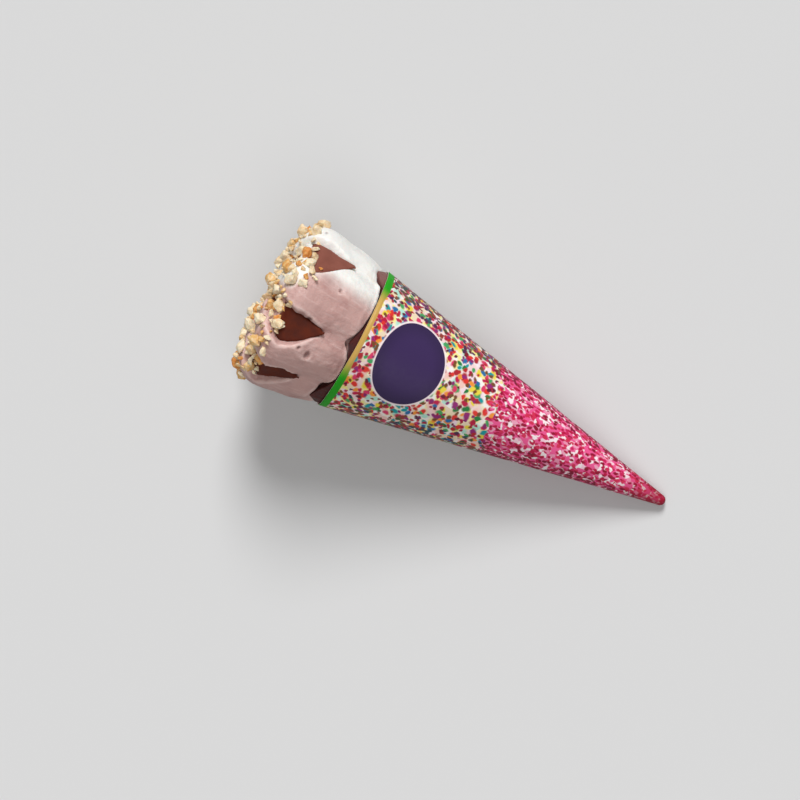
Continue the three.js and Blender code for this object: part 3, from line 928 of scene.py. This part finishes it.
# %% The frozen cream's finish
VANILLA = screen(247, 245, 240)
VANILLA_SHADE = screen(234, 228, 218)
COCOA = screen(201, 161, 154)
COCOA_SHADE = screen(180, 136, 130)
COCOA_STREAK = screen(220, 188, 182)
COCOA_LIP_HIGHLIGHT = screen(236, 206, 198)
PIT_SHADE = screen(110, 70, 66)
PIT_SHADE_STRENGTH = 0.45
AIR_HOLE_SHADE_STRENGTH = 0.7
STREAK_STRENGTH = 0.5
LIP_HIGHLIGHT_STRENGTH = 0.6
DRAWN_OUT = (1, 0.16, 1)
FROST_GRAIN = 2.6 * MM
FROST_DEPTH = 0.4 * MM

cream_material, tree, shader = material("frozen_cream")
frost = grain(tree, object_point(tree), FROST_GRAIN)
veins = noise_value(tree, object_point(tree), 130, 4.0)
vanilla = blended(tree, fade(tree, veins, 0.55, 0.8), VANILLA, VANILLA_SHADE)
cocoa = blended(tree, fade(tree, veins, 0.44, 0.74), COCOA, COCOA_SHADE)
round_point = add(tree, "Attribute", attribute_name="round_place").outputs["Vector"]
drawn_out = stretched(tree, round_point, DRAWN_OUT)
streaks = fade(tree, noise_value(tree, drawn_out, 0.9, 3.0), 0.5, 0.72)
cocoa = blended(tree, calc(tree, "MULTIPLY", streaks, STREAK_STRENGTH), cocoa, COCOA_STREAK)
# Lips made lighter: a painted highlight, as if their sharp edges caught the light.
lip_highlight_tone = calc(tree, "MULTIPLY", painted(tree, "lip"), LIP_HIGHLIGHT_STRENGTH)
cocoa = blended(tree, lip_highlight_tone, cocoa, COCOA_LIP_HIGHLIGHT)
colour = blended(tree, painted(tree, "vanilla"), cocoa, vanilla)
pits = dabs(tree, round_point, pitch=10.5, length=1.5, width=1.0, cover=0.16, softness=0.9)
# Pits and air holes are darkened towards PIT_SHADE: painted shade in their hollows.
pit_shade = calc(tree, "MULTIPLY", pits["Mask"], PIT_SHADE_STRENGTH)
hole_shade = calc(tree, "MULTIPLY", painted(tree, "air_hole"), AIR_HOLE_SHADE_STRENGTH)
colour = blended(tree, calc(tree, "MAXIMUM", pit_shade, hole_shade), colour, PIT_SHADE)
relief = calc(tree, "SUBTRACT", frost["Height"], pits["Mask"])
roughness = calc(tree, "MULTIPLY_ADD", frost["Tone"], 0.2, 0.42)
wear(tree, shader, colour, roughness, bump(tree, relief, FROST_DEPTH))
shader.inputs["Subsurface Weight"].default_value = 0.25
shader.inputs["Subsurface Radius"].default_value = (1, 0.7, 0.6)
shader.inputs["Subsurface Scale"].default_value = 0.0015
cream.data.materials.append(cream_material)
print("material", cream_material.name)

# %% [markdown]
# The sauce was poured into the grooves and froze there with a flat, smooth face. It is
# rebuilt like the cream, and grows by a hair so that it grips the walls of its groove.
# It is paler in the groove towards the top of the picture, which is painted light on the
# side that faces the sun, and a little paler on the shoulder. The dark chocolate and the
# paler sauce are two colours of one material, and the paleness is painted on by the angle.

# %% The chocolate sauce
SAUCE_CELL = 0.42 * MM
SAUCE_GROWTH = 0.3 * MM
RIPPLE_DEPTH = 0.08 * MM
RIPPLE_SIZE = 4 * MM
LIT_GROOVE_MIDDLE = radians(53)
LIT_GROOVE_REACH = radians(34)
LIT_GROOVE_STRENGTH = 0.92
SHOULDER_PALENESS = 0.55

sauce = rebuilt("chocolate_pools", "chocolate_sauce", SAUCE_CELL, 3)
push(sauce, lambda place: SAUCE_GROWTH + RIPPLE_DEPTH * noise.noise(place / RIPPLE_SIZE))


# Paler in the groove at 53 degrees, towards the top of the picture: painted light on the sauce
# that faces the sun. Also a little paler on the shoulder.
def sauce_light_share(place):
    angle, along = unswirled(place)
    in_groove = 1 - smooth(abs(angle - LIT_GROOVE_MIDDLE), LIT_GROOVE_REACH * 0.8, LIT_GROOVE_REACH)
    at_shoulder = smooth(along, 27 * MM, 28.5 * MM) * (1 - smooth(along, 31 * MM, 33 * MM))
    return max(LIT_GROOVE_STRENGTH * in_groove, SHOULDER_PALENESS * at_shoulder)


paint(sauce, "sauce_light", sauce_light_share)
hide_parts("chocolate_sauce")
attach(sauce, "root")
print("sauce of", len(sauce.data.polygons), "faces")

# %% [markdown]
# At the ends of two pools the cream has folded over the sauce. The cream's points there
# are lifted: a ray from outside finds the sauce's face, and the point goes just above it.

# %% Cream folded over the sauce
FOLDED_GROOVES = [-7, 53]
FOLD_REACH = radians(27)
FOLD_FROM = 26.5 * MM
FOLD_TO = 33 * MM
FOLD_EDGE = 1.2 * MM
FOLD_ABOVE = 0.5 * MM
FOLD_CENTRE = SLEEVE_LENGTH + 8 * MM
FAR_OUT = 12 * MM


def sheet_over(surface, place, lift):
    """Lifts a place that lies under the sauce to just above the sauce's outer face."""
    outwards = (place - on_cone(FOLD_CENTRE, 0, 0)).normalized()
    start = place + outwards * FAR_OUT
    hit = surface.ray_cast(start, -outwards)[0]
    if hit is None or (start - hit).length > FAR_OUT:
        return place
    return place.lerp(hit + outwards * FOLD_ABOVE, lift)


surface = BVHTree.FromObject(sauce, bpy.context.evaluated_depsgraph_get())
lifted = 0
for vertex in cream.data.vertices:
    angle, along = unswirled(vertex.co)
    on_groove = min(abs(angle - radians(at)) for at in FOLDED_GROOVES) < FOLD_REACH
    lift = smooth(along, FOLD_FROM, FOLD_FROM + FOLD_EDGE)
    lift *= 1 - smooth(along, FOLD_TO, FOLD_TO + FOLD_EDGE)
    if on_groove and lift > 0:
        vertex.co = sheet_over(surface, vertex.co, lift)
        lifted += 1
cream.data.update()
print(lifted, "points of cream folded over the sauce")

# %% The sauce's finish
SAUCE_DARK = screen(94, 36, 18)
SAUCE_DEEP = screen(80, 28, 14)
SAUCE_LIT_COLOUR = screen(143, 87, 74)
SAUCE_GRAIN = 4 * MM
SAUCE_DEPTH = 0.12 * MM

sauce_material, tree, shader = material("sauce_skin")
skin = grain(tree, object_point(tree), SAUCE_GRAIN)
dark = blended(tree, skin["Tone"], SAUCE_DEEP, SAUCE_DARK)
# The paler sauce is painted light, mixed in by the stored share.
sauce_light = painted(tree, "sauce_light")
patchy = calc(tree, "MULTIPLY_ADD", skin["Tone"], 0.14, calc(tree, "MULTIPLY", sauce_light, 0.86))
pale = calc(tree, "MULTIPLY", patchy, calc(tree, "MULTIPLY_ADD", sauce_light, 0.9, 0.1), clamp=True)
colour = blended(tree, pale, dark, SAUCE_LIT_COLOUR)
roughness = calc(tree, "MULTIPLY_ADD", skin["Tone"], 0.15, 0.42)
wear(tree, shader, colour, roughness, bump(tree, skin["Height"], SAUCE_DEPTH))
shader.inputs["Specular IOR Level"].default_value = 0.12
sauce.data.materials.append(sauce_material)
print("material", sauce_material.name)

# %% [markdown]
# Chocolate lines the wafer so that it stays crisp, and a little of it spills over the
# wafer's rim, where it shows as dark crescents above the paper. The imported solid already
# has that shape, so it stays and only gets its finish: dark, cold chocolate with a dull
# sheen, made paler on the side towards the top of the picture as painted light from the
# sun there. The wafer is the same case: its waffle pattern is in the solid, and the finish
# is a matt, uneven bake.

# %% The lining and the wafer
CHOCOLATE = screen(76, 26, 22)
CHOCOLATE_DEEP = screen(58, 16, 15)
LINING_LIT = screen(150, 104, 98)
LINING_LIT_FROM = 18.5 * MM
LINING_LIT_FULL = 22.5 * MM
LINING_LIT_STRENGTH = 0.8
WAFER_BROWN = screen(176, 112, 52)
WAFER_PALE = screen(222, 168, 98)

lining_material, tree, shader = material("cold_chocolate")
skin = grain(tree, object_point(tree), 3 * MM)
colour = blended(tree, skin["Tone"], CHOCOLATE_DEEP, CHOCOLATE)
# Paler towards the top of the picture: painted light on the side that faces the sun.
across = add(tree, "SeparateXYZ", {0: object_point(tree)}).outputs["Y"]
lit_side = fade(tree, across, LINING_LIT_FROM, LINING_LIT_FULL)
lit_side = calc(tree, "MULTIPLY", lit_side, LINING_LIT_STRENGTH)
colour = blended(tree, lit_side, colour, LINING_LIT)
roughness = calc(tree, "MULTIPLY_ADD", skin["Tone"], 0.2, 0.35)
wear(tree, shader, colour, roughness, bump(tree, skin["Height"], 0.3 * MM))
shader.inputs["Specular IOR Level"].default_value = 0.25

wafer_material, tree, shader = material("baked_wafer")
crumb = grain(tree, object_point(tree), 1.6 * MM)
baked = blended(tree, crumb["Tone"], WAFER_BROWN, WAFER_PALE)
roughness = calc(tree, "MULTIPLY_ADD", crumb["Tone"], 0.2, 0.65)
wear(tree, shader, baked, roughness, bump(tree, crumb["Height"], 0.4 * MM))

for node, finish in [("chocolate_lining", lining_material), ("wafer_cone", wafer_material)]:
    worn = nodes[node]
    worn.data.materials.clear()
    worn.data.materials.append(finish)
    print(node, "wears", finish.name)

# %% [markdown]
# Chopped nuts break along flat faces with sharp, crumbly edges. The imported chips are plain
# hulls, so each is split into finer faces, its edges are rounded a little, and noise chips
# it. Every chip has its own roast, from pale to orange, painted on it as one number.

# %% The chopped nuts
NUT_EDGE = 0.3 * MM
NUT_CHIP = 0.3 * MM
CHIP_SIZE = 1.5 * MM
NUT_CRUMB = 0.1 * MM
CRUMB_SIZE = 0.45 * MM
ROASTS = [
    (0, (248, 232, 200)), (0.4, (238, 208, 164)), (0.72, (234, 186, 112)), (1, (222, 142, 66)),
]
MOSTLY_PALE = 1.6
nut_names = sorted(name for name in nodes if name.startswith("nut_"))
dice = random.Random(11)


def break_up(shape):
    """Blunts the edges of a plain chip in a bmesh, splits its faces and roughens them."""
    edges = [edge for edge in shape.edges if edge.calc_face_angle(0) > radians(12)]
    bmesh.ops.bevel(shape, geom=edges, offset=NUT_EDGE, segments=2, affect="EDGES",
                    profile=0.6, clamp_overlap=True)
    bmesh.ops.triangulate(shape, faces=shape.faces)
    long_edges = [edge for edge in shape.edges if edge.calc_length() > 2 * NUT_EDGE]
    for _ in range(2):
        bmesh.ops.subdivide_edges(shape, edges=long_edges, cuts=1, use_grid_fill=False)
        bmesh.ops.triangulate(shape, faces=shape.faces)
        long_edges = [edge for edge in shape.edges if edge.calc_length() > 2 * NUT_EDGE]
    shape.normal_update()
    moved = []
    for vertex in shape.verts:
        chip = NUT_CHIP * (noise.noise(vertex.co / CHIP_SIZE) - 0.12)
        crumb = NUT_CRUMB * noise.noise(vertex.co / CRUMB_SIZE)
        moved.append(vertex.co + vertex.normal * (chip + crumb))
    for vertex, place in zip(shape.verts, moved):
        vertex.co = place


def piece_from(shape, name):
    data = bpy.data.meshes.new(name)
    shape.to_mesh(data)
    shape.free()
    data.shade_smooth()
    made = bpy.data.objects.new(name, data)
    scene.collection.objects.link(made)
    return made


def chopped(node):
    """A finer, chipped copy of one packed chip, kept inside that chip's own box."""
    shape = bmesh.new()
    shape.from_mesh(nodes[node].data)
    bmesh.ops.remove_doubles(shape, verts=shape.verts, dist=1e-6)
    break_up(shape)
    low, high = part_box(node)
    for vertex in shape.verts:
        vertex.co = Vector([min(max(vertex.co[n], low[n]), high[n]) for n in range(3)])
    return piece_from(shape, node + "_chopped")


nut_material, tree, shader = material("roasted_nut")
flesh = grain(tree, object_point(tree), 1.2 * MM)
roast = painted(tree, "roast")
browned = calc(tree, "SUBTRACT", roast, 0.15)
browned = calc(tree, "MULTIPLY_ADD", flesh["Tone"], 0.3, browned, clamp=True)
ramp = add(tree, "ValToRGB", {"Fac": browned})
stops = ramp.color_ramp.elements
for place, tone in ROASTS:
    stop = stops[0] if place == 0 else stops[-1] if place == 1 else stops.new(place)
    stop.position = place
    stop.color = screen(*tone)
roughness = calc(tree, "MULTIPLY_ADD", flesh["Tone"], 0.15, 0.5)
wear(tree, shader, ramp.outputs["Color"], roughness, bump(tree, flesh["Height"], 0.4 * MM))
shader.inputs["Subsurface Weight"].default_value = 0.15
shader.inputs["Subsurface Radius"].default_value = (1, 0.6, 0.3)
shader.inputs["Subsurface Scale"].default_value = 0.001

for node in nut_names:
    chip = chopped(node)
    its_roast = dice.random() ** MOSTLY_PALE
    paint(chip, "roast", lambda place: its_roast)
    chip.data.materials.append(nut_material)
    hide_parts(node)
    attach(chip, "root")
print(len(nut_names), "chopped nuts")

# %% [markdown]
# Chopping leaves more small bits than chips. They cling wherever the chips do, over the
# dome and its shoulder. Each one is the hull of a few random points, roughened like the
# chips. A ray towards the axis, or down along it, finds where the bit lands, and a bit that
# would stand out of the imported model's box, or into another bit, isn't used.

# %% Small bits of nut
CRUMB_TRIES = 1400
CRUMB_SMALL = 2.4 * MM
CRUMB_LARGE = 5.6 * MM
CRUMB_CORNERS = 10
CRUMB_RISE = 0.12
CROWDING = 0.3
BOX_MARGIN = 0.4 * MM
TOP_HEIGHT = SLEEVE_LENGTH + 60 * MM
FAR_RADIUS = 60 * MM
ON_DOME = 0.4
IN_BAND = 0.5
DOME_REACH = 28 * MM
SHOULDER_BAND = (SLEEVE_LENGTH + 27 * MM, SLEEVE_LENGTH + 34 * MM)
# The middle of each cluster: its angle in degrees and its millimetres above the mouth
CLUSTERS = [
    (28, 29), (21, 27), (29, 26), (35, 29), (30, 32), (0, 28), (-6, 29), (-12, 29.5),
    (-19, 29.5), (-26, 29.5), (-5, 31.5), (-15, 32.5), (-68, 31), (-58, 28), (72, 30),
    (100, 29), (140, 29), (170, 29), (-110, 30), (-150, 29),
]


def tree_of(*pieces):
    points, faces = [], []
    for piece in pieces:
        start = len(points)
        points += [v.co.copy() for v in piece.data.vertices]
        faces += [[start + n for n in polygon.vertices] for polygon in piece.data.polygons]
    return BVHTree.FromPolygons(points, faces)


def landing(surface):
    """A random place on the dome or its shoulder, and the surface's normal there."""
    kind = dice.random()
    angle = dice.uniform(-pi, pi)
    if kind < ON_DOME:
        radius = DOME_REACH * sqrt(dice.random())
        return surface.ray_cast(on_cone(TOP_HEIGHT, angle, radius), -AXIS)[:2]
    height = dice.uniform(*SHOULDER_BAND)
    if kind > IN_BAND:
        middle, above = dice.choice(CLUSTERS)
        angle = radians(middle + dice.gauss(0, 4))
        height = SLEEVE_LENGTH + (above + dice.gauss(0, 1.2)) * MM
    start = on_cone(height, angle, FAR_RADIUS)
    inwards = on_cone(height, angle, 0) - start
    return surface.ray_cast(start, inwards.normalized())[:2]


def bit_corners(place, size):
    stretch = Vector((1, dice.uniform(0.6, 0.9), dice.uniform(0.5, 0.8)))
    turn = dice.uniform(0, 2 * pi)
    turned = Matrix.Rotation(turn, 3, Vector([dice.gauss(0, 1) for _ in range(3)]))
    corners = []
    for _ in range(CRUMB_CORNERS):
        out = Vector([dice.gauss(0, 1) for _ in range(3)]).normalized()
        scaled = Vector([a * b for a, b in zip(out, stretch)])
        corners.append(place + turned @ scaled * size / 2 * dice.uniform(0.8, 1))
    return corners


def inside_box(corners):
    low, high = cad_box
    inner = [(low[n] + BOX_MARGIN, high[n] - BOX_MARGIN) for n in range(3)]
    return all(least < c[n] < most for c in corners for n, (least, most) in enumerate(inner))


def is_crowded(place, size, landed):
    return any(
        (place - other).length < CROWDING * (size + other_size) for other, other_size in landed
    )


def bit_mesh(corners):
    """The roughened hull of a bit's corners."""
    shape = bmesh.new()
    for corner in corners:
        shape.verts.new(corner)
    bmesh.ops.convex_hull(shape, input=shape.verts)
    loose = [vertex for vertex in shape.verts if not vertex.link_faces]
    bmesh.ops.delete(shape, geom=loose, context="VERTS")
    break_up(shape)
    data = bpy.data.meshes.new("bit")
    shape.to_mesh(data)
    shape.free()
    return data


surface = tree_of(cream, sauce)
landed = []
bits = bmesh.new()
roasts = []
for _ in range(CRUMB_TRIES):
    place, normal = landing(surface)
    size = CRUMB_SMALL + (CRUMB_LARGE - CRUMB_SMALL) * dice.random()
    if place is None:
        continue
    corners = bit_corners(place + normal * size * CRUMB_RISE, size)
    if is_crowded(place, size, landed) or not inside_box(corners):
        continue
    landed.append((place, size))
    bit = bit_mesh(corners)
    bits.from_mesh(bit)
    roasts += [dice.random() ** MOSTLY_PALE] * len(bit.vertices)
    bpy.data.meshes.remove(bit)
crumbs = piece_from(bits, "nut_crumbs")
store(crumbs, "roast", roasts)
crumbs.data.materials.append(nut_material)
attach(crumbs, "root")
print(len(landed), "bits,", len(crumbs.data.polygons), "faces")
